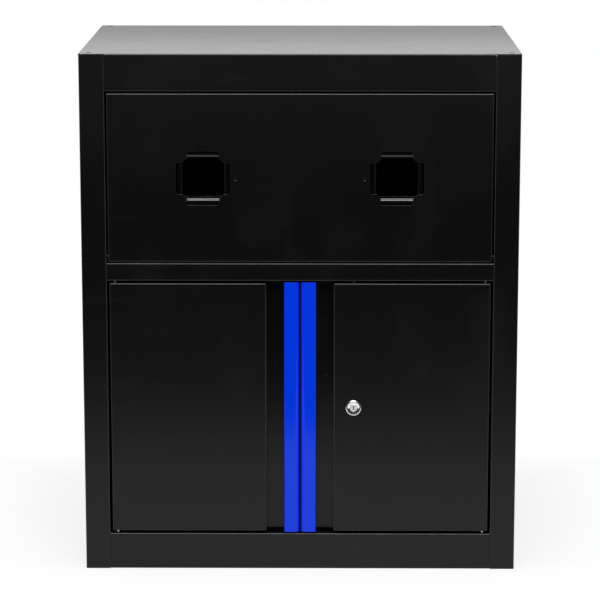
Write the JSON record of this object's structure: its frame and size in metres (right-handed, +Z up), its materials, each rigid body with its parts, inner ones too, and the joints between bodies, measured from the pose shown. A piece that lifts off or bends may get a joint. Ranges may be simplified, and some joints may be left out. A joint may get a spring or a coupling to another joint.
{
  "type": "hose reel cabinet",
  "caption": "Steel floor cabinet: reel bay behind a drop-down flap with roller hose outlets, above a cupboard with hinged doors, recessed grips, handle strips and a rod lock.",
  "frame": {"origin": "on the floor under the middle of the cabinet", "axes": "+Z up, front towards -Y, +X to the right seen from the front"},
  "size_m": [0.68, 0.4644, 0.82],
  "materials": {
    "black_powder_coat": "fine satin powder coat",
    "blue_gloss_paint": "smooth gloss paint",
    "chrome": "polished",
    "zinc_steel": "bright zinc plating",
    "black_roller_steel": "polished and blackened",
    "black_nylon": "moulded",
    "rubber": "matt"
  },
  "bodies": {
    "carcass": {"left_side_panel": "black_powder_coat", "right_side_panel": "black_powder_coat", "top_panel": "black_powder_coat", "reel_bay_floor": "black_powder_coat", "base_panel": "black_powder_coat", "back_panel": "black_powder_coat", "back_panel_screws": "zinc_steel", "shelf": "black_powder_coat", "left_shelf_rail": "black_powder_coat", "right_shelf_rail": "black_powder_coat", "left_supply_grommet": "rubber", "right_supply_grommet": "rubber", "flap_hinge_pins": "zinc_steel", "left_door_pins": "zinc_steel", "right_door_pins": "zinc_steel", "left_door_catch": "black_nylon", "right_door_catch": "black_nylon", "left_flap_catch": "black_nylon", "right_flap_catch": "black_nylon", "catch_magnets": "zinc_steel", "catch_screws": "zinc_steel"},
    "flap": {"flap_panel": "black_powder_coat", "flap_bushes": "black_nylon", "left_roller_frame": "black_powder_coat", "right_roller_frame": "black_powder_coat", "left_roller_pins": "zinc_steel", "right_roller_pins": "zinc_steel", "roller_frame_nuts": "zinc_steel"},
    "left_door": {"left_door_panel": "black_powder_coat", "left_door_handle": "blue_gloss_paint", "left_handle_rivets": "zinc_steel", "left_door_bushes": "black_nylon", "left_door_stiffener": "black_powder_coat"},
    "right_door": {"right_door_panel": "black_powder_coat", "right_door_handle": "blue_gloss_paint", "right_handle_rivets": "zinc_steel", "right_door_bushes": "black_nylon", "right_door_stiffener": "black_powder_coat", "lock_body": "chrome", "lock_nut": "zinc_steel", "rod_guides": "black_nylon"},
    "lock": {"lock_plug": "chrome", "lock_cam": "zinc_steel", "lock_cam_screw": "zinc_steel"},
    "upper_rod": {"upper_lock_rod": "zinc_steel"},
    "lower_rod": {"lower_lock_rod": "zinc_steel"},
    "roller_left_upper": {"roller_left_upper": "black_roller_steel"},
    "roller_left_lower": {"roller_left_lower": "black_roller_steel"},
    "roller_left_inner": {"roller_left_inner": "black_roller_steel"},
    "roller_left_outer": {"roller_left_outer": "black_roller_steel"},
    "roller_right_upper": {"roller_right_upper": "black_roller_steel"},
    "roller_right_lower": {"roller_right_lower": "black_roller_steel"},
    "roller_right_inner": {"roller_right_inner": "black_roller_steel"},
    "roller_right_outer": {"roller_right_outer": "black_roller_steel"}
  },
  "joints": [
    {"name": "flap_hinge", "type": "hinge", "parent": "carcass", "child": "flap", "pos_m": [0, -0.2235, 0.504], "axis": [1, 0, 0], "range_deg": [0, 90]},
    {"name": "left_door_hinge", "type": "hinge", "parent": "carcass", "child": "left_door", "pos_m": [-0.289, -0.222, 0.262], "axis": [0, 0, -1], "range_deg": [0, 105]},
    {"name": "lock_turn", "type": "hinge", "parent": "right_door", "child": "lock", "pos_m": [0.084, -0.23, 0.263], "axis": [0, 1, 0], "range_deg": [0, 90]},
    {"name": "right_door_hinge", "type": "hinge", "parent": "carcass", "child": "right_door", "pos_m": [0.289, -0.222, 0.262], "axis": [0, 0, 1], "range_deg": [0, 105]},
    {"name": "rod_lower_slide", "type": "slide", "parent": "right_door", "child": "lower_rod", "axis": [0, 0, -1], "range_m": [0, 0.012]},
    {"name": "rod_upper_slide", "type": "slide", "parent": "right_door", "child": "upper_rod", "axis": [0, 0, 1], "range_m": [0, 0.012]},
    {"name": "roller_left_upper_spin", "type": "hinge", "parent": "flap", "child": "roller_left_upper", "pos_m": [-0.15, -0.219, 0.6655], "axis": [1, 0, 0], "continuous": true},
    {"name": "roller_left_lower_spin", "type": "hinge", "parent": "flap", "child": "roller_left_lower", "pos_m": [-0.15, -0.219, 0.5895], "axis": [1, 0, 0], "continuous": true},
    {"name": "roller_left_inner_spin", "type": "hinge", "parent": "flap", "child": "roller_left_inner", "pos_m": [-0.112, -0.219, 0.6275], "axis": [0, 0, 1], "continuous": true},
    {"name": "roller_left_outer_spin", "type": "hinge", "parent": "flap", "child": "roller_left_outer", "pos_m": [-0.188, -0.219, 0.6275], "axis": [0, 0, 1], "continuous": true},
    {"name": "roller_right_upper_spin", "type": "hinge", "parent": "flap", "child": "roller_right_upper", "pos_m": [0.15, -0.219, 0.6655], "axis": [1, 0, 0], "continuous": true},
    {"name": "roller_right_lower_spin", "type": "hinge", "parent": "flap", "child": "roller_right_lower", "pos_m": [0.15, -0.219, 0.5895], "axis": [1, 0, 0], "continuous": true},
    {"name": "roller_right_inner_spin", "type": "hinge", "parent": "flap", "child": "roller_right_inner", "pos_m": [0.112, -0.219, 0.6275], "axis": [0, 0, 1], "continuous": true},
    {"name": "roller_right_outer_spin", "type": "hinge", "parent": "flap", "child": "roller_right_outer", "pos_m": [0.188, -0.219, 0.6275], "axis": [0, 0, 1], "continuous": true}
  ],
  "couplings": [
    {"joint": "rod_lower_slide", "follows": "rod_upper_slide", "ratio": 1},
    {"joint": "lock_turn", "follows": "rod_upper_slide", "rad_per_m": 130.89}
  ]
}
